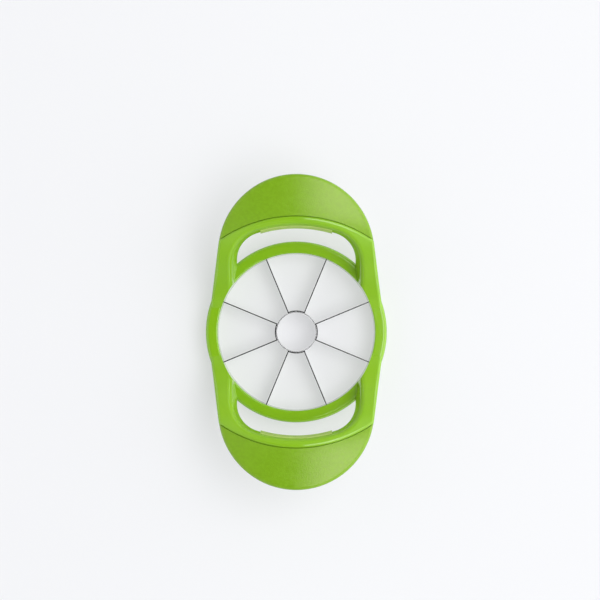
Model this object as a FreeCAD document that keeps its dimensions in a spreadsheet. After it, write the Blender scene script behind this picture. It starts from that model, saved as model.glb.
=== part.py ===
"""Apple corer and wedger with two bail handles and eight radial blades.

A glossy plastic frame (a ring, four rising arms and two handles) carries four bent
stainless strips welded round a core tube. The strips' hooked ends hang in the ring's
hollow underside, which a retaining ring closes. A soft grip is moulded over each handle.

Units are millimetres and +Z is up. The long axis is Y. The origin is the centre of the
ring's underside, the plane that rests on the chopping board.
"""
import FreeCAD, Part
import math
import os

import Sketcher

Vector = FreeCAD.Vector
Rotation = FreeCAD.Rotation
Placement = FreeCAD.Placement

os.makedirs("parts", exist_ok=True)
doc = FreeCAD.newDocument("apple_wedger")

# ------------------------------------------------------------------ driving dimensions

DIMENSIONS = {
    # ring
    "ring_bore_radius": 45.0,
    "ring_wall": 6.8,
    "ring_height": 17.0,
    "ring_outer_round": 2.2,
    "ring_inner_round": 0.8,
    "channel_wall": 1.9,
    "channel_roof": 2.4,
    # retaining ring in the channel's mouth
    "cap_height": 3.0,
    "cap_ledge": 0.5,
    "cap_gap": 0.1,
    "cap_pad_width": 5.0,
    # core tube
    "core_bore_radius": 11.2,
    "core_skin": 0.5,
    "core_low": 0.8,
    "core_high": 16.0,
    "core_bevel": 2.0,
    # blades
    "blade_skin": 0.6,
    "blade_low": 1.2,
    "blade_bevel": 2.5,
    "edge_land": 0.1,
    "slot_gap": 0.15,
    "hook_length": 3.0,
    "hook_low": 4.5,
    # handle outline, seen from above; the arms' outer faces start inside the ring
    "arm_bury": 0.4,
    "handle_radius": 44.0,
    "handle_centre": 43.5,
    # finger opening at the height opening_level; its walls lean out by the draft
    "opening_overhang": 5.7,
    "opening_start": 20.0,
    "opening_flank_radius": 89.0,
    "opening_corner_radius": 20.0,
    "opening_crown_radius": 90.0,
    "opening_reach": 58.4,
    "opening_level": 40.0,
    "opening_draft": 9.0,
    # curved line where the soft grip meets the hard strip
    "parting_radius": 78.3,
    "parting_reach": 64.5,
    # edge rounds of the hard moulding
    "arm_round": 1.8,
    "opening_top_round": 3.0,
    "opening_under_round": 1.1,
    "parting_round": 1.5,
    # soft grip and the plate inside it
    "grip_recess": 0.6,
    "grip_top_skin": 2.0,
    "grip_under_skin": 1.8,
    "grip_inset": 0.1,
    "grip_rim": 2.6,
    "grip_round": 2.0,
    "plate_root": 2.0,
    "anchor_radius": 2.2,
    "anchor_orbit": 35.5,
    "anchor_step": 26.0,
    # lip of the grip along the finger opening, let into the handle's inner wall
    "lip_half_width": 20.0,
    "lip_root": 1.0,
    "lip_proud": 0.4,
    "lip_drop": 4.0,
    "lip_round": 0.3,
    # the handle's arch, given by its rise over this half width
    "arch_span": 43.0,
    "band_half_width": 56.0,
    # cutting tools start this far under the board plane and stand this tall
    "tool_foot": 5.0,
    "tool_height": 95.0,
}

# Upright sections of the handle from the ring outwards: distance from the ring's centre,
# height of the top over the ring's top at the arms, depth, and rise of the arch.
STATIONS = [
    (0.0, -1.6, 12.0, 0.3),
    (10.0, -0.9, 14.8, 0.35),
    (20.0, 2.9, 18.5, 0.6),
    (30.0, 9.8, 20.5, 1.2),
    (40.0, 17.6, 17.6, 2.4),
    (50.0, 23.6, 12.6, 4.2),
    (60.0, 26.9, 9.7, 5.5),
    (70.0, 28.8, 8.8, 6.1),
    (80.0, 30.2, 8.5, 6.4),
    (90.0, 31.4, 8.3, 6.5),
]
STATION_WORDS = ("reach", "rise", "depth", "arch")

# Sizes that follow from the driving ones.
FITS = {
    "ring_radius": "Dimensions.ring_bore_radius + Dimensions.ring_wall",
    "arm_foot": "ring_radius - Dimensions.arm_bury",
    "opening_side": "Dimensions.ring_bore_radius - Dimensions.opening_overhang",
    "channel_inner": "Dimensions.ring_bore_radius + Dimensions.channel_wall",
    "channel_outer": "ring_radius - Dimensions.channel_wall",
    "channel_top": "Dimensions.ring_height - Dimensions.channel_roof",
    "mouth_inner": "channel_inner - Dimensions.cap_ledge",
    "mouth_outer": "channel_outer + Dimensions.cap_ledge",
    "cap_inner": "mouth_inner + Dimensions.cap_gap",
    "cap_outer": "mouth_outer - Dimensions.cap_gap",
    "core_radius": "Dimensions.core_bore_radius + Dimensions.core_skin",
    "blade_half": "Dimensions.blade_skin / 2",
    "edge_half_land": "Dimensions.edge_land / 2",
    "blade_high": "channel_top - Dimensions.slot_gap",
    "slot_half": "blade_half + Dimensions.slot_gap",
    "hook_inner": "channel_inner + Dimensions.slot_gap",
    "hook_outer": "hook_inner + Dimensions.blade_skin",
    "opening_slope": "tan(Dimensions.opening_draft)",
    "opening_shrink": "(Dimensions.opening_level + Dimensions.tool_foot) * opening_slope",
    "grip_radius": "Dimensions.handle_radius - Dimensions.grip_inset",
    "plate_radius": "grip_radius - Dimensions.grip_rim",
    "plate_drop": "Dimensions.grip_recess + Dimensions.grip_top_skin",
    "parting_centre": "Dimensions.parting_reach - Dimensions.parting_radius",
}

# Each strip's bearing is that of the middle of its bend, counted from +X towards +Y.
STRIP_BEARINGS = {"right": 0.0, "rear": 90.0, "left": 180.0, "front": 270.0}
BLADES_PER_STRIP = 2
BLADE_COUNT = BLADES_PER_STRIP * len(STRIP_BEARINGS)
BLADE_STEP = 360.0 / BLADE_COUNT
ANCHORS_PER_SIDE = 2

TOUCH = 0.02      # an edge this near to a surface lies on it
UPRIGHT = 0.9     # an edge that rises by more than this share of its length is upright
ARM_END = 1.0     # edges that stay this near to the plane Y = 0 end inside the ring
EDGE_SHARES = (0.1, 0.4, 0.6, 0.9)   # where along an edge its distance from a wall is taken
RIM_DROP = Vector(0, 0, -1.4)        # from a rim edge to a spot under it
RIM_SLACK = 0.45  # a solid this near to that spot carries on under the edge


def fill_sheet(name, rows):
    """A spreadsheet with one named cell for each row."""
    sheet = doc.addObject("Spreadsheet::Sheet", name)
    for row, (alias, content) in enumerate(rows, 1):
        sheet.set(f"A{row}", alias.replace("_", " "))
        sheet.set(f"B{row}", content)
        sheet.setAlias(f"B{row}", alias)
    doc.recompute()
    return sheet


station_rows = [
    (f"station_{word}_{number}", str(value))
    for number, station in enumerate(STATIONS, 1)
    for word, value in zip(STATION_WORDS, station)
]
dimension_sheet = fill_sheet(
    "Dimensions", [(alias, str(value)) for alias, value in DIMENSIONS.items()] + station_rows)
fit_sheet = fill_sheet("Fits", [(alias, "=" + formula) for alias, formula in FITS.items()])


def size(alias):
    """The value of one named cell."""
    sheet = fit_sheet if alias in FITS else dimension_sheet
    value = sheet.get(alias)
    return float(getattr(value, "Value", value))


def cells(formula):
    """A formula with each #alias turned into a reference to its cell."""
    for alias in sorted(FITS, key=len, reverse=True):
        formula = formula.replace("#" + alias, "Fits." + alias)
    return formula.replace("#", "Dimensions.")


def bind(item, prop, formula):
    """Tie a property to the cells that its formula names."""
    item.setExpression(prop, cells(formula))


# ------------------------------------------------------------------------ sketch helper

START, END, CENTRE = 1, 2, 3
ORIGIN = (-1, 1)
X_LINE, Y_LINE = -1, -2


def flat(point):
    """A sketch point as a vector."""
    return Vector(point[0], point[1], 0)


class Drawing:
    """Lines and counter-clockwise arcs in one sketch, with dimensions tied to cells."""

    def __init__(self, sketch):
        self.sketch = sketch

    def line(self, start, end):
        return self.sketch.addGeometry(Part.LineSegment(flat(start), flat(end)))

    def arc(self, centre, start, end):
        begin = math.atan2(start[1] - centre[1], start[0] - centre[0])
        finish = math.atan2(end[1] - centre[1], end[0] - centre[0])
        if finish < begin:
            finish += 2 * math.pi
        radius = math.dist(centre, start)
        circle = Part.Circle(flat(centre), Vector(0, 0, 1), radius)
        return self.sketch.addGeometry(Part.ArcOfCircle(circle, begin, finish))

    def hold(self, kind, *where):
        return self.sketch.addConstraint(Sketcher.Constraint(kind, *where))

    def drive(self, kind, where, value, formula):
        index = self.hold(kind, *where, value)
        self.sketch.setExpression(f"Constraints[{index}]", cells(formula))

    def across(self, point, value, formula):
        """Distance of a point from the upright axis, positive to the right."""
        if value < 0:
            self.drive("DistanceX", point + ORIGIN, -value, f"-({formula})")
        else:
            self.drive("DistanceX", ORIGIN + point, value, formula)

    def along(self, point, value, formula):
        """Distance of a point from the level axis, positive upwards."""
        if value < 0:
            self.drive("DistanceY", point + ORIGIN, -value, f"-({formula})")
        else:
            self.drive("DistanceY", ORIGIN + point, value, formula)

    def polygon(self, *corners):
        """A closed polygon with both coordinates of each corner tied to cells."""
        spots = [(cell(across), cell(along)) for across, along in corners]
        sides = [self.line(spot, spots[(n + 1) % len(spots)]) for n, spot in enumerate(spots)]
        for side, following in zip(sides, sides[1:] + sides[:1]):
            self.hold("Coincident", side, END, following, START)
        for side, spot, (across, along) in zip(sides, spots, corners):
            self.across((side, START), spot[0], across)
            self.along((side, START), spot[1], along)


def cell(formula):
    """The value of a sum or difference of cells."""
    value = 0.0
    for term in formula.replace("-", "+ -").split("+"):
        name = term.replace("-", "").strip()
        if name:
            amount = size(name[1:]) if name.startswith("#") else float(name)
            value += -amount if "-" in term else amount
    return value


def board_sketch(name, height=None):
    """A sketch in the level plane, at the board plane or a bound height."""
    sketch = doc.addObject("Sketcher::SketchObject", name)
    if height:
        bind(sketch, "Placement.Base.z", height)
    return sketch


def body_sketch(body, name, plane, turn=0.0):
    """A sketch on one of a body's own origin planes."""
    sketch = body.newObject("Sketcher::SketchObject", name)
    planes = [item for item in body.Origin.OriginFeatures if item.Role == plane]
    sketch.AttachmentSupport = [(planes[0], "")]
    sketch.MapMode = "FlatFace"
    if turn:
        sketch.AttachmentOffset = Placement(Vector(), Rotation(Vector(0, 1, 0), turn))
    return sketch


def axis_of(body, role):
    """One of a body's own origin axes."""
    return [item for item in body.Origin.OriginFeatures if item.Role == role][0]


# ---------------------------------------------------------------------- solid helpers

def extruded(name, sketch, height, draft=None):
    """A sketch drawn up into a solid, its walls leaning out by the draft."""
    solid = doc.addObject("Part::Extrusion", name)
    solid.Base = sketch
    solid.DirMode = "Custom"
    solid.Dir = Vector(0, 0, 1)
    solid.Solid = True
    bind(solid, "LengthFwd", height)
    if draft:
        bind(solid, "TaperAngle", draft)
    return solid


def upright_cylinder(name, radius, along="0"):
    """A tall cylinder through the model, with its axis on the plane X = 0."""
    solid = doc.addObject("Part::Cylinder", name)
    bind(solid, "Radius", radius)
    bind(solid, "Height", "#tool_height")
    bind(solid, "Placement.Base.y", along)
    bind(solid, "Placement.Base.z", "-#tool_foot")
    return solid


def moved(name, source, lift):
    """The same solid, raised by a bound amount."""
    link = doc.addObject("App::Link", name)
    link.LinkedObject = source
    bind(link, "Placement.Base.z", lift)
    return link


def cut(name, base, tool):
    solid = doc.addObject("Part::Cut", name)
    solid.Base = base
    solid.Tool = tool
    return solid


def common(name, *solids):
    solid = doc.addObject("Part::MultiCommon", name)
    solid.Shapes = list(solids)
    return solid


def fused(name, *solids):
    solid = doc.addObject("Part::MultiFuse", name)
    solid.Shapes = list(solids)
    return solid


def mirrored(name, source):
    """The same solid on the other side of the plane Y = 0."""
    solid = doc.addObject("Part::Mirroring", name)
    solid.Source = source
    solid.Normal = Vector(0, 1, 0)
    return solid


def rim_edges(shape, wall):
    """Names of the shape's level edges that lie on a tool's wall, arms' ends left out."""
    names = []
    for number, edge in enumerate(shape.Edges, 1):
        first, last = edge.ParameterRange
        points = [edge.valueAt(first + (last - first) * share) for share in EDGE_SHARES]
        rise = abs(points[-1].z - points[0].z)
        if rise > UPRIGHT * points[0].distanceToPoint(points[-1]):
            continue
        if max(point.y for point in points) < ARM_END:
            continue
        if all(wall.distToShape(Part.Vertex(point))[0] < TOUCH for point in points):
            names.append(f"Edge{number}")
    return names


def rounded(name, base, wall, radius, upper=None):
    """The base with its edges along a tool's wall rounded: all, the upper or the lower ones."""
    body = doc.addObject("PartDesign::Body", name)
    body.BaseFeature = base
    doc.recompute()
    edges = rim_edges(base.Shape, Part.Compound(wall.Shape.Faces))
    if upper is not None:
        edges = [edge for edge in edges if is_upper(base.Shape, edge) == upper]
    fillet = body.newObject("PartDesign::Fillet", name + "_edges")
    fillet.Base = (body.Group[0], edges)
    bind(fillet, "Radius", radius)
    doc.recompute()
    return body


def is_upper(shape, name):
    """Whether the solid carries on under a rim edge."""
    edge = shape.getElement(name)
    first, last = edge.ParameterRange
    below = edge.valueAt((first + last) / 2) + RIM_DROP
    return shape.distToShape(Part.Vertex(below))[0] < RIM_SLACK


# ------------------------------------------------------------------------ frame pieces

def handle_section(number):
    """One upright section of the handle: a band between two equal arches."""
    sketch = doc.addObject("Sketcher::SketchObject", f"handle_section_{number}")
    sketch.Placement = Placement(Vector(), Rotation(Vector(1, 0, 0), 90))
    bind(sketch, "Placement.Base.y", f"#station_reach_{number}")
    arch = size(f"station_arch_{number}")
    radius = (size("arch_span") ** 2 + arch ** 2) / (2 * arch)
    radius_formula = f"((#arch_span ^ 2 + #station_arch_{number} ^ 2) / (2 * #station_arch_{number}))"
    top = size("ring_height") + size(f"station_rise_{number}") + arch
    top_formula = f"(#ring_height + #station_rise_{number} + #station_arch_{number})"
    depth = size(f"station_depth_{number}")
    half = size("band_half_width")
    drop = radius - math.sqrt(radius ** 2 - half ** 2)
    drawing = Drawing(sketch)
    upper = drawing.arc((0, top - radius), (half, top - drop), (-half, top - drop))
    lower = drawing.arc(
        (0, top - depth - radius), (half, top - depth - drop), (-half, top - depth - drop))
    left = drawing.line((-half, top - drop), (-half, top - depth - drop))
    right = drawing.line((half, top - depth - drop), (half, top - drop))
    drawing.hold("Coincident", upper, END, left, START)
    drawing.hold("Coincident", left, END, lower, END)
    drawing.hold("Coincident", lower, START, right, START)
    drawing.hold("Coincident", right, END, upper, START)
    drawing.hold("PointOnObject", upper, CENTRE, Y_LINE)
    drawing.hold("PointOnObject", lower, CENTRE, Y_LINE)
    drawing.hold("Vertical", left)
    drawing.hold("Vertical", right)
    drawing.hold("Equal", upper, lower)
    drawing.drive("Radius", (upper,), radius, radius_formula)
    drawing.along((upper, CENTRE), top - radius, f"{top_formula} - {radius_formula}")
    drawing.drive("DistanceY", (lower, CENTRE, upper, CENTRE), depth, f"#station_depth_{number}")
    drawing.across((upper, START), half, "#band_half_width")
    drawing.across((upper, END), -half, "-#band_half_width")
    return sketch


def handle_band():
    """The arched band that rises from the ring, wider than the handle."""
    band = doc.addObject("Part::Loft", "handle_band")
    band.Sections = [handle_section(number) for number in range(1, len(STATIONS) + 1)]
    band.Solid = True
    band.Ruled = False
    return band


def handle_outline():
    """The handle's outside seen from above: arms that lean in to a round end."""
    sketch = board_sketch("handle_outline", "-#tool_foot")
    foot = size("arm_foot")
    radius = size("handle_radius")
    centre = size("handle_centre")
    bearing = math.acos(radius / math.dist((foot, 0), (0, centre))) - math.atan2(centre, foot)
    touch = (radius * math.cos(bearing), centre + radius * math.sin(bearing))
    drawing = Drawing(sketch)
    back = drawing.line((-foot, 0), (foot, 0))
    right = drawing.line((foot, 0), touch)
    end = drawing.arc((0, centre), touch, (-touch[0], touch[1]))
    left = drawing.line((-touch[0], touch[1]), (-foot, 0))
    drawing.hold("Coincident", back, END, right, START)
    drawing.hold("Tangent", right, END, end, START)
    drawing.hold("Tangent", end, END, left, START)
    drawing.hold("Coincident", left, END, back, START)
    drawing.hold("PointOnObject", back, START, X_LINE)
    drawing.hold("Horizontal", back)
    drawing.hold("PointOnObject", end, CENTRE, Y_LINE)
    drawing.along((end, CENTRE), centre, "#handle_centre")
    drawing.drive("Radius", (end,), radius, "#handle_radius")
    drawing.across((right, START), foot, "#arm_foot")
    drawing.across((left, END), -foot, "-#arm_foot")
    return extruded("handle_outline_solid", sketch, "#tool_height")


def corner_centre(flank_centre, flank, crown_centre, crown, corner):
    """Centre of the arc that is tangent inside the flank and crown arcs."""
    first = flank - corner
    second = crown - corner
    gap = math.dist(flank_centre, crown_centre)
    along = (first ** 2 - second ** 2 + gap ** 2) / (2 * gap)
    offset = math.sqrt(first ** 2 - along ** 2)
    unit = [(b - a) / gap for a, b in zip(flank_centre, crown_centre)]
    choices = [
        (flank_centre[0] + along * unit[0] - turn * offset * unit[1],
         flank_centre[1] + along * unit[1] + turn * offset * unit[0])
        for turn in (1, -1)
    ]
    return max(choices, key=lambda spot: spot[1])


def away(centre, radius, through):
    """The point at a radius from a centre, in the direction of another point."""
    span = math.dist(centre, through)
    return tuple(a + radius * (b - a) / span for a, b in zip(centre, through))


def finger_opening(name, less):
    """The space between ring and handle, five arcs wide, with leaning walls."""
    sketch = board_sketch(name + "_outline", "-#tool_foot")
    shrink = cell(less)
    start = size("opening_start")
    side = size("opening_side") - shrink
    flank = size("opening_flank_radius") - shrink
    corner = size("opening_corner_radius") - shrink
    crown = size("opening_crown_radius") - shrink
    reach = size("opening_reach") - shrink
    foot = -start
    flank_centre = (side - flank, start)
    crown_centre = (0, reach - crown)
    middle = corner_centre(flank_centre, flank, crown_centre, crown, corner)
    low = away(flank_centre, flank, middle)
    high = away(crown_centre, crown, middle)
    drawing = Drawing(sketch)
    back = drawing.line((-side, foot), (side, foot))
    right = drawing.line((side, foot), (side, start))
    right_flank = drawing.arc(flank_centre, (side, start), low)
    right_corner = drawing.arc(middle, low, high)
    top = drawing.arc(crown_centre, high, (-high[0], high[1]))
    left_corner = drawing.arc((-middle[0], middle[1]), (-high[0], high[1]), (-low[0], low[1]))
    left_flank = drawing.arc((-flank_centre[0], start), (-low[0], low[1]), (-side, start))
    left = drawing.line((-side, start), (-side, foot))
    drawing.hold("Coincident", left, END, back, START)
    drawing.hold("Coincident", back, END, right, START)
    chain = [right, right_flank, right_corner, top, left_corner, left_flank, left]
    for piece, following in zip(chain, chain[1:]):
        drawing.hold("Tangent", piece, END, following, START)
    drawing.hold("Horizontal", back)
    drawing.hold("Vertical", right)
    drawing.hold("Vertical", left)
    drawing.hold("PointOnObject", top, CENTRE, Y_LINE)
    drawing.along((back, START), foot, "-#opening_start")
    drawing.across((right, END), side, f"#opening_side - ({less})")
    drawing.across((left, START), -side, f"({less}) - #opening_side")
    drawing.along((right, END), start, "#opening_start")
    drawing.along((left, START), start, "#opening_start")
    for piece in (right_flank, left_flank):
        drawing.drive("Radius", (piece,), flank, f"#opening_flank_radius - ({less})")
    for piece in (right_corner, left_corner):
        drawing.drive("Radius", (piece,), corner, f"#opening_corner_radius - ({less})")
    drawing.drive("Radius", (top,), crown, f"#opening_crown_radius - ({less})")
    drawing.along((top, CENTRE), reach - crown, "#opening_reach - #opening_crown_radius")
    return extruded(name, sketch, "#tool_height", "#opening_draft")


def wrap_box():
    """The middle width of the handle, where the grip wraps under to the finger opening."""
    box = doc.addObject("Part::Box", "wrap_box")
    bind(box, "Length", "2 * #lip_half_width")
    bind(box, "Width", "#handle_radius")
    bind(box, "Height", "#tool_height")
    bind(box, "Placement.Base.x", "-#lip_half_width")
    bind(box, "Placement.Base.y", "#handle_centre")
    return box


def anchor_holes():
    """Round holes through the plate in the grip, evenly spread about its middle."""
    holes = []
    for turn in range(-ANCHORS_PER_SIDE, ANCHORS_PER_SIDE + 1):
        name = f"anchor_hole_{turn + ANCHORS_PER_SIDE + 1}"
        hole = upright_cylinder(
            name, "#anchor_radius", f"#handle_centre + #anchor_orbit * cos({turn} * #anchor_step)")
        bind(hole, "Placement.Base.x", f"#anchor_orbit * sin({turn} * #anchor_step)")
        holes.append(hole)
    return fused("anchor_holes", *holes)


def ring():
    """The ring before its underside is hollowed, with its upper edges rounded."""
    body = doc.addObject("PartDesign::Body", "ring")
    sketch = body_sketch(body, "ring_section", "XZ_Plane")
    Drawing(sketch).polygon(
        ("#ring_bore_radius", "0"),
        ("#ring_radius", "0"),
        ("#ring_radius", "#ring_height"),
        ("#ring_bore_radius", "#ring_height"),
    )
    turned(body, "ring_turn", sketch)
    for name, radius in (("outer", "#ring_radius"), ("inner", "#ring_bore_radius")):
        edge = circle_at(body.Shape, cell(radius), size("ring_height"))
        fillet = body.newObject("PartDesign::Fillet", f"ring_{name}_edge")
        fillet.Base = (body.Group[-2], [edge])
        bind(fillet, "Radius", f"#ring_{name}_round")
        doc.recompute()
    return body


def circle_at(shape, radius, height):
    """Name of the shape's level circle with a radius and height."""
    for number, edge in enumerate(shape.Edges, 1):
        if isinstance(edge.Curve, Part.Circle) and abs(edge.Curve.Center.z - height) < TOUCH:
            if abs(edge.Curve.Radius - radius) < TOUCH:
                return f"Edge{number}"
    raise ValueError(f"no circle of radius {radius} at height {height}")


def turned(body, name, sketch, angle=360.0, kind="Revolution"):
    """A section turned about the upright axis, as material or as a groove."""
    feature = body.newObject("PartDesign::" + kind, name)
    feature.Profile = sketch
    feature.ReferenceAxis = (axis_of(body, "Z_Axis"), [""])
    feature.Angle = angle
    doc.recompute()
    return feature


def repeated(body, name, features, count, angle):
    """Features of a body repeated about the upright axis."""
    pattern = body.newObject("PartDesign::PolarPattern", name)
    pattern.Originals = features
    pattern.Axis = (axis_of(body, "Z_Axis"), [""])
    pattern.Angle = angle
    pattern.Occurrences = count
    body.Tip = pattern
    doc.recompute()
    return pattern


def grown(body, name, sketch, length, both_ways=False, kind="Pad"):
    """A sketch drawn out square to itself, as material or as a pocket."""
    feature = body.newObject("PartDesign::" + kind, name)
    feature.Profile = sketch
    bind(feature, "Length", length)
    feature.Midplane = both_ways
    doc.recompute()
    return feature


def frame(blank):
    """The frame: the fused moulding with the ring's underside hollowed and slotted."""
    body = doc.addObject("PartDesign::Body", "frame")
    body.BaseFeature = blank
    doc.recompute()
    channel = body_sketch(body, "channel_section", "XZ_Plane")
    Drawing(channel).polygon(
        ("#mouth_inner", "-#tool_foot"),
        ("#mouth_outer", "-#tool_foot"),
        ("#mouth_outer", "#cap_height"),
        ("#channel_outer", "#cap_height"),
        ("#channel_outer", "#channel_top"),
        ("#channel_inner", "#channel_top"),
        ("#channel_inner", "#cap_height"),
        ("#mouth_inner", "#cap_height"),
    )
    turned(body, "channel", channel, kind="Groove")
    slot = body_sketch(body, "slot_outline", "XY_Plane")
    Drawing(slot).polygon(
        ("#core_radius", "-#slot_half"),
        ("#hook_inner", "-#slot_half"),
        ("#hook_inner", "#slot_half"),
        ("#core_radius", "#slot_half"),
    )
    bind(slot, "AttachmentOffset.Rotation.Angle", f"{BLADE_STEP / BLADES_PER_STRIP}")
    cutter = grown(body, "slot", slot, "#channel_top", kind="Pocket")
    cutter.Reversed = True
    doc.recompute()
    repeated(body, "slots", [cutter], BLADE_COUNT, 360.0)
    return body


def retaining_ring():
    """The flat ring that closes the channel, with a pad under each blade hook."""
    body = doc.addObject("PartDesign::Body", "blade_retaining_ring")
    section = body_sketch(body, "cap_section", "XZ_Plane")
    Drawing(section).polygon(
        ("#cap_inner", "0"),
        ("#cap_outer", "0"),
        ("#cap_outer", "#cap_height"),
        ("#cap_inner", "#cap_height"),
    )
    turned(body, "cap_turn", section)
    pad = body_sketch(body, "cap_pad_outline", "XY_Plane")
    Drawing(pad).polygon(
        ("#hook_inner", "-#blade_half"),
        ("#channel_outer - #slot_gap - #blade_half", "-#blade_half"),
        ("#channel_outer - #slot_gap - #blade_half", "#cap_pad_width - #blade_half"),
        ("#hook_inner", "#cap_pad_width - #blade_half"),
    )
    bind(pad, "AttachmentOffset.Rotation.Angle", f"{BLADE_STEP / BLADES_PER_STRIP}")
    step = grown(body, "cap_pad", pad, "#hook_low")
    repeated(body, "cap_pads", [step], BLADE_COUNT, 360.0)
    return body


def core_tube():
    """The thin tube that cuts out the core, sharpened from outside."""
    body = doc.addObject("PartDesign::Body", "core_tube")
    section = body_sketch(body, "core_section", "XZ_Plane")
    Drawing(section).polygon(
        ("#core_bore_radius", "#core_low"),
        ("#core_bore_radius + #edge_land", "#core_low"),
        ("#core_radius", "#core_low + #core_bevel"),
        ("#core_radius", "#core_high"),
        ("#core_bore_radius", "#core_high"),
    )
    turned(body, "core_turn", section)
    return body


def blade_section(sketch, middle):
    """A blade's section: a strip on edge, bevelled on both faces to a fine land."""
    half_land = "#edge_half_land"
    Drawing(sketch).polygon(
        (f"{middle} - {half_land}", "#blade_low"),
        (f"{middle} + {half_land}", "#blade_low"),
        (f"{middle} + #blade_half", "#blade_low + #blade_bevel"),
        (f"{middle} + #blade_half", "#blade_high"),
        (f"{middle} - #blade_half", "#blade_high"),
        (f"{middle} - #blade_half", "#blade_low + #blade_bevel"),
    )


def blade_strip(name, bearing):
    """One strip: a blade, a bend round the tube and a second blade, each end hooked."""
    body = doc.addObject("PartDesign::Body", name)
    bend = body_sketch(body, name + "_bend_section", "XZ_Plane")
    blade_section(bend, "#core_radius + #blade_half")
    turned(body, name + "_bend", bend, BLADE_STEP)
    straight = body_sketch(body, name + "_blade_section", "YZ_Plane")
    blade_section(straight, "0")
    blade = grown(body, name + "_blade", straight, "#hook_outer")
    hook = body_sketch(body, name + "_hook_outline", "XY_Plane")
    Drawing(hook).polygon(
        ("#hook_inner", "-#blade_half"),
        ("#hook_outer", "-#blade_half"),
        ("#hook_outer", "#hook_length"),
        ("#hook_inner", "#hook_length"),
    )
    bind(hook, "AttachmentOffset.Base.z", "#hook_low")
    leg = grown(body, name + "_hook", hook, "#blade_high - #hook_low")
    repeated(body, name + "_blades", [blade, leg], BLADES_PER_STRIP, BLADE_STEP)
    core = body_sketch(body, name + "_core_outline", "XY_Plane")
    drawing = Drawing(core)
    circle = core.addGeometry(Part.Circle(Vector(), Vector(0, 0, 1), size("core_radius")))
    drawing.hold("Coincident", circle, CENTRE, *ORIGIN)
    drawing.drive("Radius", (circle,), size("core_radius"), "#core_radius")
    trim = grown(body, name + "_core_trim", core, "#ring_height", kind="Pocket")
    trim.Reversed = True
    body.Tip = trim
    body.Placement = Placement(Vector(), Rotation(Vector(0, 0, 1), bearing - BLADE_STEP / 2))
    doc.recompute()
    return body


# --------------------------------------------------------------------------- assembly

band = handle_band()
outline = handle_outline()
opening = finger_opening("finger_opening", "#opening_shrink")
lip_opening = finger_opening("lip_opening", "#opening_shrink + #lip_proud")
lip_seat = finger_opening("lip_seat", "#opening_shrink - #lip_root")
parting = upright_cylinder("parting_cylinder", "#parting_radius", "#parting_centre")
wrap = wrap_box()
doc.recompute()

arms = rounded("arms_rounded", common("handle_blank", band, outline), outline, "#arm_round")
under_opened = rounded(
    "opening_under_rounded", cut("handle_opened", arms, opening), opening, "#opening_under_round", False)
opened = rounded("opening_rounded", under_opened, opening, "#opening_top_round", True)
strip = rounded(
    "strip_rounded", common("hard_strip", opened, parting), parting, "#parting_round", True)

over_plate = moved("band_over_plate", band, "-#plate_drop")
under_plate = moved("band_under_plate", band, "#grip_under_skin")
plate_rim = upright_cylinder("plate_rim", "#plate_radius", "#handle_centre")
plate_root = upright_cylinder("plate_root_line", "#parting_radius - #plate_root", "#parting_centre")
plate_disc = common("plate_disc", over_plate, under_plate, plate_rim)
holed_plate = cut("holed_plate", cut("plate", plate_disc, plate_root), anchor_holes())
recess = common("wrap_recess", cut("under_layer", band, under_plate), wrap)
lip_top = moved("band_under_lip_top", band, "-#lip_drop")
lip_recess = common("lip_recess", band, lip_top, wrap, lip_seat)
wrap_space = fused("wrap_space", recess, lip_recess)
rear_handle = fused("rear_handle", cut("strip_recessed", strip, wrap_space), holed_plate)
front_handle = mirrored("front_handle", rear_handle)
moulding = fused("moulding", ring(), rear_handle, front_handle)
bored = cut("bored_moulding", moulding, upright_cylinder("bore", "#ring_bore_radius"))
doc.recompute()

grip_top = moved("band_under_grip_top", band, "-#grip_recess")
grip_rim = upright_cylinder("grip_rim_cylinder", "#grip_radius", "#handle_centre")
grip_blank = cut("grip_blank", common("grip_disc", band, grip_top, grip_rim), plate_root)
round_grip = rounded("grip_rounded", grip_blank, grip_rim, "#grip_round")
pad = cut("pad", cut("pad_blank", round_grip, parting), holed_plate)
wrap_layer = cut("wrap_layer", common("wrap_layer_blank", wrap_space, parting), lip_opening)
soft = fused("sharp_grip", pad, wrap_layer)
rear_grip = rounded("rear_grip", soft, lip_opening, "#lip_round")
front_grip = mirrored("front_grip", rear_grip)
doc.recompute()

nodes = {
    "frame": frame(bored),
    "blade_retaining_ring": retaining_ring(),
    "core_tube": core_tube(),
    "grip_rear": rear_grip,
    "grip_front": front_grip,
}
for side, bearing in STRIP_BEARINGS.items():
    nodes[f"blade_strip_{side}"] = blade_strip(f"blade_strip_{side}", bearing)
doc.recompute()

for item in doc.Objects:
    if "Invalid" in item.State or "Error" in item.State:
        raise RuntimeError(f"{item.Name} failed: {item.State}")
for name, item in nodes.items():
    item.Label = name
    shape = item.Shape
    if shape.isNull() or not shape.isValid() or len(shape.Solids) != 1:
        raise RuntimeError(f"{name} isn't one valid solid")
for name, item in nodes.items():
    item.Shape.exportStep(f"parts/{name}.step")
    print(f"{name}: {item.Shape.Volume:.1f} mm3")
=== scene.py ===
import math

import bpy
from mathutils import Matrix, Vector


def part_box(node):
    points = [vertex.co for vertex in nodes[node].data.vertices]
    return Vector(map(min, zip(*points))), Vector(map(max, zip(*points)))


# Apple corer and wedger: finishes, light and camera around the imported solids.
# Metres, +Z up, the tool's long axis along Y, seen straight from above.

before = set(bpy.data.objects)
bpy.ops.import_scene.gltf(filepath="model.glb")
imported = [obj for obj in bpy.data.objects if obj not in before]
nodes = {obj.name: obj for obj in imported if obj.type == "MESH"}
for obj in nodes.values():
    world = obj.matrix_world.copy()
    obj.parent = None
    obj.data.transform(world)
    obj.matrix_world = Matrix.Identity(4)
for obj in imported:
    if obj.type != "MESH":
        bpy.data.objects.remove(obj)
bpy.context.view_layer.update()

# ------------------------------------------------------------------ places and colours

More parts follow.
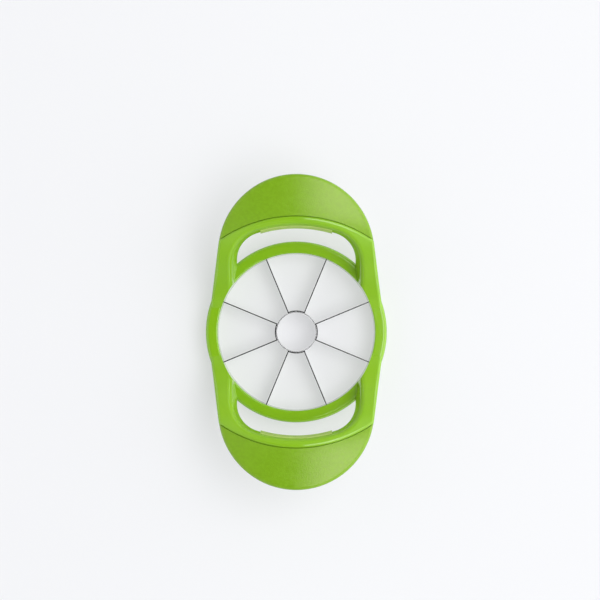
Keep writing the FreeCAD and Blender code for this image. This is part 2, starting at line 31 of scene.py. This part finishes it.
CAMERA_SPOT = (0.0021, 0.0, 1.100)
VIEW_ANGLE = math.radians(17.98)
PICTURE_SHIFT = 0.0533    # how far the tool's middle lies under the picture's, as a share of its height
CLIP_START = 0.05
CLIP_END = 10.0

# Plastics: two tones of each, then the tint of the grips' shine and a pale tone painted along their lip as
# a painted reflection of the floor.
LIME_GLOSS = (0.215, 0.418, 0.012, 1)
LIME_GLOSS_DEEP = (0.187, 0.382, 0.010, 1)
LIME_SOFT = (0.155, 0.306, 0.009, 1)
LIME_SOFT_PALE = (0.178, 0.326, 0.016, 1)
SOFT_SHINE = (0.82, 0.69, 0.58, 1)
LIP_PAINTED_REFLECTION = (0.37, 0.50, 0.12, 1)

STEEL = (0.56, 0.56, 0.57, 1)
STEEL_GROUND = (0.66, 0.66, 0.67, 1)
WELD_TINT = (0.40, 0.36, 0.31, 1)
STRIP_ROUGHNESS = (0.07, 0.13)   # bright rolled sheet
TUBE_ROUGHNESS = (0.19, 0.24)    # duller ground tube

PAPER = (0.31, 0.312, 0.320, 1)
PAPER_TOOTH = (0.30, 0.302, 0.310, 1)
PAPER_GLOW = (0.975, 0.98, 1.0, 1)
PAPER_GLOW_STRENGTH = 0.535
FLOOR_SIZE = 4.0

# Room light: how strong it is at each height over the horizon (0 level, 1 straight up),
# and the factors that it is weakened or raised by from the left (0) to the right (1).
ROOM_LIGHT = (
    (0.0, 2.00), (0.14, 2.20), (0.25, 0.70), (0.45, 0.50), (0.62, 0.95), (0.80, 0.95), (0.88, 0.65),
    (0.94, 0.05))
ROOM_SIDES = ((0.0, 1.00), (0.32, 0.75), (0.5, 0.40), (0.68, 1.10), (1.0, 2.00))
ROOM_TINT = (0.98, 0.99, 1.0, 1)

# Softboxes: place, size along the tool and across it, and power in watts. All face the tool.
SOFTBOXES = {
    "near_softbox": ((0.385, 0.0, 1.45), (1.3, 0.50), 10.0),
    "upper_softbox": ((0.75, 0.0, 1.30), (1.3, 0.40), 6.0),
    "right_softbox": ((1.3, 0.0, 0.5), (1.4, 0.8), 3.0),
    "left_softbox": ((-1.3, 0.0, 0.5), (1.4, 0.8), 2.0),
}
TOOL_MIDDLE = (0, 0, 0.03)

# The finger opening's wall: how far along the tool it lies in the middle at its level,
# how it falls back from there towards the sides and leans out with the height.
OPENING_REACH = 0.0584
OPENING_LEVEL = 0.040
OPENING_CURVE = 1 / (2 * 0.090)
OPENING_LEAN = math.tan(math.radians(9.0))
LIP_REFLECTION_BAND = (0.0004, 0.0009)   # band of painted reflection along the grip's lip: full up to the first depth behind that wall, gone by the second

BEVEL_TOP = 0.0037        # height of the upper end of the blades' ground edge
TUBE_BEVEL_TOP = 0.0028   # the same on the core tube
WELD_HEIGHTS = (0.0062, 0.0108)
WELD_RADIUS = 0.0011
STRIP_SKIN = 0.0006       # thickness of the blades' sheet


# ---------------------------------------------------------------------- material tools

class Recipe:
    """A node material under construction."""

    def __init__(self, name):
        self.material = bpy.data.materials.new(name)
        self.material.use_nodes = True
        self.tree = self.material.node_tree
        self.shader = self.tree.nodes["Principled BSDF"]
        self.place = self.add("ShaderNodeTexCoord").outputs["Object"]

    def add(self, kind, **settings):
        made = self.tree.nodes.new(kind)
        for name, value in settings.items():
            setattr(made, name, value)
        return made

    def join(self, source, target):
        self.tree.links.new(source, target)

    def stretched(self, scale):
        """Object coordinates scaled along each axis."""
        made = self.add("ShaderNodeMapping")
        made.inputs["Scale"].default_value = scale
        self.join(self.place, made.inputs["Vector"])
        return made.outputs["Vector"]

    def noise(self, scale, detail=3.0, rough=0.5, stretch=None):
        """Fractal noise, from 0 to 1."""
        made = self.add("ShaderNodeTexNoise")
        made.inputs["Scale"].default_value = scale
        made.inputs["Detail"].default_value = detail
        made.inputs["Roughness"].default_value = rough
        self.join(self.stretched(stretch) if stretch else self.place, made.inputs["Vector"])
        return made.outputs["Fac"]

    def cells(self, scale):
        """Distance to the nearest of many scattered points."""
        made = self.add("ShaderNodeTexVoronoi")
        made.inputs["Scale"].default_value = scale
        self.join(self.place, made.inputs["Vector"])
        return made.outputs["Distance"]

    def math(self, kind, first, second=None):
        made = self.add("ShaderNodeMath", operation=kind)
        for socket, value in zip(made.inputs, (first, second)):
            if value is None:
                continue
            if isinstance(value, (int, float)):
                socket.default_value = value
            else:
                self.join(value, socket)
        return made.outputs["Value"]

    def ranged(self, value, low, high, to_low, to_high):
        """A value mapped from one range to another and clamped."""
        made = self.add("ShaderNodeMapRange")
        self.join(value, made.inputs["Value"])
        for name, number in zip(("From Min", "From Max", "To Min", "To Max"), (low, high, to_low, to_high)):
            made.inputs[name].default_value = number
        return made.outputs["Result"]

    def blend(self, share, first, second):
        """One colour turning into another."""
        made = self.add("ShaderNodeMix", data_type="RGBA")
        self.join(share, made.inputs["Factor"])
        for name, value in (("A", first), ("B", second)):
            socket = [item for item in made.inputs if item.name == name and item.type == "RGBA"][0]
            if isinstance(value, tuple):
                socket.default_value = value
            else:
                self.join(value, socket)
        return [item for item in made.outputs if item.type == "RGBA"][0]

    def bump(self, height, depth, strength=1.0, base=None):
        """A bumped normal, laid over an earlier one."""
        made = self.add("ShaderNodeBump")
        made.inputs["Strength"].default_value = strength
        made.inputs["Distance"].default_value = depth
        self.join(height, made.inputs["Height"])
        if base is not None:
            self.join(base, made.inputs["Normal"])
        return made.outputs["Normal"]

    def set(self, **values):
        """Values or links for the shader's own sockets."""
        for name, value in values.items():
            socket = self.shader.inputs[name.replace("_", " ")]
            if isinstance(value, bpy.types.NodeSocket):
                self.join(value, socket)
            else:
                socket.default_value = value

    def parts(self):
        """Places across and along the tool, and over the board."""
        made = self.add("ShaderNodeSeparateXYZ")
        self.join(self.place, made.inputs["Vector"])
        return made.outputs["X"], made.outputs["Y"], made.outputs["Z"]

    def behind_opening(self):
        """Depth behind the finger opening's wall, for either handle."""
        across, along, height = self.parts()
        bow = self.math("MULTIPLY", self.math("MULTIPLY", across, across), OPENING_CURVE)
        lean = self.math("MULTIPLY", self.math("SUBTRACT", height, OPENING_LEVEL), OPENING_LEAN)
        reach = self.math("SUBTRACT", self.math("ADD", self.math("ABSOLUTE", along), bow), lean)
        return self.math("SUBTRACT", reach, OPENING_REACH)

    def near(self, spot, radius):
        """1 at a spot, falling to 0 at a radius."""
        made = self.add("ShaderNodeVectorMath", operation="DISTANCE")
        self.join(self.place, made.inputs[0])
        made.inputs[1].default_value = spot
        return self.ranged(made.outputs["Value"], radius * 0.75, radius, 1.0, 0.0)


# --------------------------------------------------------------------------- materials

def glossy_moulding():
    """Polished lime plastic with faint flow marks, orange peel, handling scratches and rubs."""
    recipe = Recipe("glossy_lime_moulding")
    flow = recipe.noise(22.0, 4.0, 0.55, (1.0, 0.45, 1.6))
    colour = recipe.blend(recipe.ranged(flow, 0.35, 0.65, 0.0, 1.0), LIME_GLOSS_DEEP, LIME_GLOSS)
    rubs = recipe.noise(160.0, 5.0, 0.7)
    scratches = recipe.noise(900.0, 2.0, 0.6, (1.0, 0.06, 0.4))
    rough = recipe.math(
        "ADD", recipe.ranged(rubs, 0.42, 0.72, 0.09, 0.15), recipe.ranged(scratches, 0.62, 0.74, 0.0, 0.06))
    peel = recipe.bump(recipe.noise(420.0, 2.0, 0.4), 0.00003, 0.5)
    normal = recipe.bump(scratches, 0.00001, 0.35, peel)
    recipe.set(
        Base_Color=colour, Roughness=rough, Normal=normal, IOR=1.49, Specular_IOR_Level=0.5,
        Subsurface_Weight=0.06, Subsurface_Scale=0.002, Subsurface_Radius=(0.6, 1.0, 0.2))
    return recipe.material


def satin_moulding():
    """The retaining ring's duller lime plastic, as it comes from a spark-eroded tool."""
    recipe = Recipe("satin_lime_moulding")
    flow = recipe.noise(40.0, 3.0)
    colour = recipe.blend(recipe.ranged(flow, 0.35, 0.7, 0.0, 1.0), LIME_GLOSS_DEEP, LIME_GLOSS)
    grain = recipe.noise(2600.0, 3.0, 0.6)
    recipe.set(
        Base_Color=colour, Roughness=recipe.ranged(grain, 0.3, 0.7, 0.42, 0.58),
        Normal=recipe.bump(grain, 0.00004, 0.5), IOR=1.49)
    return recipe.material


def soft_grip():
    """Satin soft-touch elastomer: fine leathery grain, mottle, paler dusty rubs and a pale band along the
    lip that is a painted reflection of the floor.
    """
    recipe = Recipe("soft_touch_grip")
    mottle = recipe.noise(640.0, 4.0, 0.6)
    dust = recipe.noise(55.0, 4.0, 0.6)
    base = recipe.blend(recipe.ranged(dust, 0.45, 0.75, 0.0, 0.55), LIME_SOFT, LIME_SOFT_PALE)
    mottled = recipe.blend(recipe.ranged(mottle, 0.40, 0.62, 0.0, 0.4), base, LIME_GLOSS_DEEP)
    # Painted reflection: a paler tone along the lip, standing in for the floor's light seen in the
    # opening's wall.
    lip_reflection = recipe.ranged(recipe.behind_opening(), *LIP_REFLECTION_BAND, 1.0, 0.0)
    colour = recipe.blend(lip_reflection, mottled, LIP_PAINTED_REFLECTION)
    pebbles = recipe.cells(1500.0)
    fine = recipe.noise(3800.0, 2.0)
    grain = recipe.bump(pebbles, 0.00006, 0.7)
    normal = recipe.bump(fine, 0.00003, 0.4, grain)
    recipe.set(
        Base_Color=colour, Roughness=recipe.ranged(mottle, 0.36, 0.64, 0.14, 0.26), Normal=normal,
        IOR=1.5, Specular_Tint=SOFT_SHINE, Sheen_Weight=0.04, Sheen_Roughness=0.4,
        Subsurface_Weight=0.04, Subsurface_Scale=0.0015, Subsurface_Radius=(0.6, 1.0, 0.2))
    return recipe.material


def steel(name, roughness, bevel_top, welds=()):
    """Brushed sheet: fine lines along it, a ground lower edge with lines across, spot welds."""
    recipe = Recipe(name)
    brush = recipe.noise(1.0, 4.0, 0.65, (60.0, 60.0, 5200.0))
    across = recipe.noise(1.0, 3.0, 0.6, (4200.0, 4200.0, 90.0))
    ground = recipe.ranged(recipe.parts()[2], bevel_top - 0.0001, bevel_top + 0.0001, 1.0, 0.0)
    lines = recipe.blend(ground, brush, across)
    tone = recipe.blend(recipe.ranged(brush, 0.3, 0.7, 0.0, 0.35), STEEL, STEEL_GROUND)
    colour = recipe.blend(ground, tone, STEEL_GROUND)
    rough = recipe.ranged(recipe.noise(90.0, 4.0), 0.3, 0.75, *roughness)
    normal = recipe.bump(lines, 0.00001, 0.15)
    for spot in welds:
        mark = recipe.near(spot, WELD_RADIUS)
        colour = recipe.blend(mark, colour, WELD_TINT)
        normal = recipe.bump(recipe.math("SUBTRACT", 1.0, mark), 0.00012, 0.8, normal)
    recipe.set(Base_Color=colour, Metallic=1.0, Roughness=rough, Normal=normal)
    return recipe.material


def paper():
    """The pale floor: the faintest tooth, and a glow of its own that softens the shadows."""
    recipe = Recipe("pale_floor")
    recipe.set(
        Base_Color=recipe.blend(recipe.noise(900.0, 3.0), PAPER, PAPER_TOOTH),
        Roughness=0.8, Specular_IOR_Level=0.15,
        Emission_Color=PAPER_GLOW, Emission_Strength=PAPER_GLOW_STRENGTH)
    return recipe.material


def dress(name, material):
    """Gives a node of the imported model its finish."""
    item = nodes[name]
    item.data.materials.clear()
    item.data.materials.append(material)


gloss = glossy_moulding()
rubber = soft_grip()
dress("frame", gloss)
dress("blade_retaining_ring", satin_moulding())
dress("grip_rear", rubber)
dress("grip_front", rubber)
dress("core_tube", steel("core_tube_steel", TUBE_ROUGHNESS, TUBE_BEVEL_TOP))
bend_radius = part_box("core_tube")[1].x + STRIP_SKIN
for side, (across, along) in {"right": (1, 0), "rear": (0, 1), "left": (-1, 0), "front": (0, -1)}.items():
    spots = [(bend_radius * across, bend_radius * along, height) for height in WELD_HEIGHTS]
    dress(f"blade_strip_{side}", steel(f"blade_steel_{side}", STRIP_ROUGHNESS, BEVEL_TOP, spots))


# ------------------------------------------------------------------------ floor, light

def floor():
    """A wide pale sheet under the tool."""
    bpy.ops.mesh.primitive_plane_add(size=FLOOR_SIZE, location=(0, 0, 0))
    sheet = bpy.context.object
    sheet.name = "floor"
    sheet.data.materials.append(paper())


def softbox(name, spot, size, power):
    """A rectangular soft light that faces the tool."""
    data = bpy.data.lights.new(name, "AREA")
    data.shape = "RECTANGLE"
    data.size, data.size_y = size
    data.energy = power
    light = bpy.data.objects.new(name, data)
    bpy.context.scene.collection.objects.link(light)
    light.location = spot
    light.rotation_mode = "QUATERNION"
    light.rotation_quaternion = (Vector(TOOL_MIDDLE) - Vector(spot)).to_track_quat("-Z", "Y")


def graded(tree, stops):
    """A ramp of strengths between the given stops."""
    ramp = tree.nodes.new("ShaderNodeValToRGB")
    ramp.color_ramp.elements.remove(ramp.color_ramp.elements[1])
    for number, (position, strength) in enumerate(stops):
        stop = ramp.color_ramp.elements[0] if number == 0 else ramp.color_ramp.elements.new(position)
        stop.position = position
        stop.color = (strength, strength, strength, 1)
    return ramp


def surroundings():
    """Room light: dim right overhead, bright at the level of the tool, most of all to the right."""
    world = bpy.data.worlds.new("studio")
    bpy.context.scene.world = world
    world.use_nodes = True
    tree = world.node_tree
    place = tree.nodes.new("ShaderNodeTexCoord")
    split = tree.nodes.new("ShaderNodeSeparateXYZ")
    sideways = tree.nodes.new("ShaderNodeMapRange")
    sideways.inputs["From Min"].default_value = -1.0
    heights = graded(tree, ROOM_LIGHT)
    sides = graded(tree, ROOM_SIDES)
    product = tree.nodes.new("ShaderNodeMath")
    product.operation = "MULTIPLY"
    tree.links.new(place.outputs["Generated"], split.inputs["Vector"])
    tree.links.new(split.outputs["X"], sideways.inputs["Value"])
    tree.links.new(split.outputs["Z"], heights.inputs["Fac"])
    tree.links.new(sideways.outputs["Result"], sides.inputs["Fac"])
    tree.links.new(heights.outputs["Color"], product.inputs[0])
    tree.links.new(sides.outputs["Color"], product.inputs[1])
    background = tree.nodes["Background"]
    background.inputs["Color"].default_value = ROOM_TINT
    tree.links.new(product.outputs["Value"], background.inputs["Strength"])


def camera():
    """Looks straight down, the tool's long axis upright in the picture."""
    data = bpy.data.cameras.new("camera")
    data.angle = VIEW_ANGLE
    data.shift_y = PICTURE_SHIFT
    data.clip_start = CLIP_START
    data.clip_end = CLIP_END
    eye = bpy.data.objects.new("camera", data)
    bpy.context.scene.collection.objects.link(eye)
    eye.location = CAMERA_SPOT
    bpy.context.scene.camera = eye


floor()
surroundings()
for name, (spot, size, power) in SOFTBOXES.items():
    softbox(name, spot, size, power)
camera()

bpy.context.scene.view_settings.view_transform = "Standard"
bpy.context.scene.view_settings.look = "None"
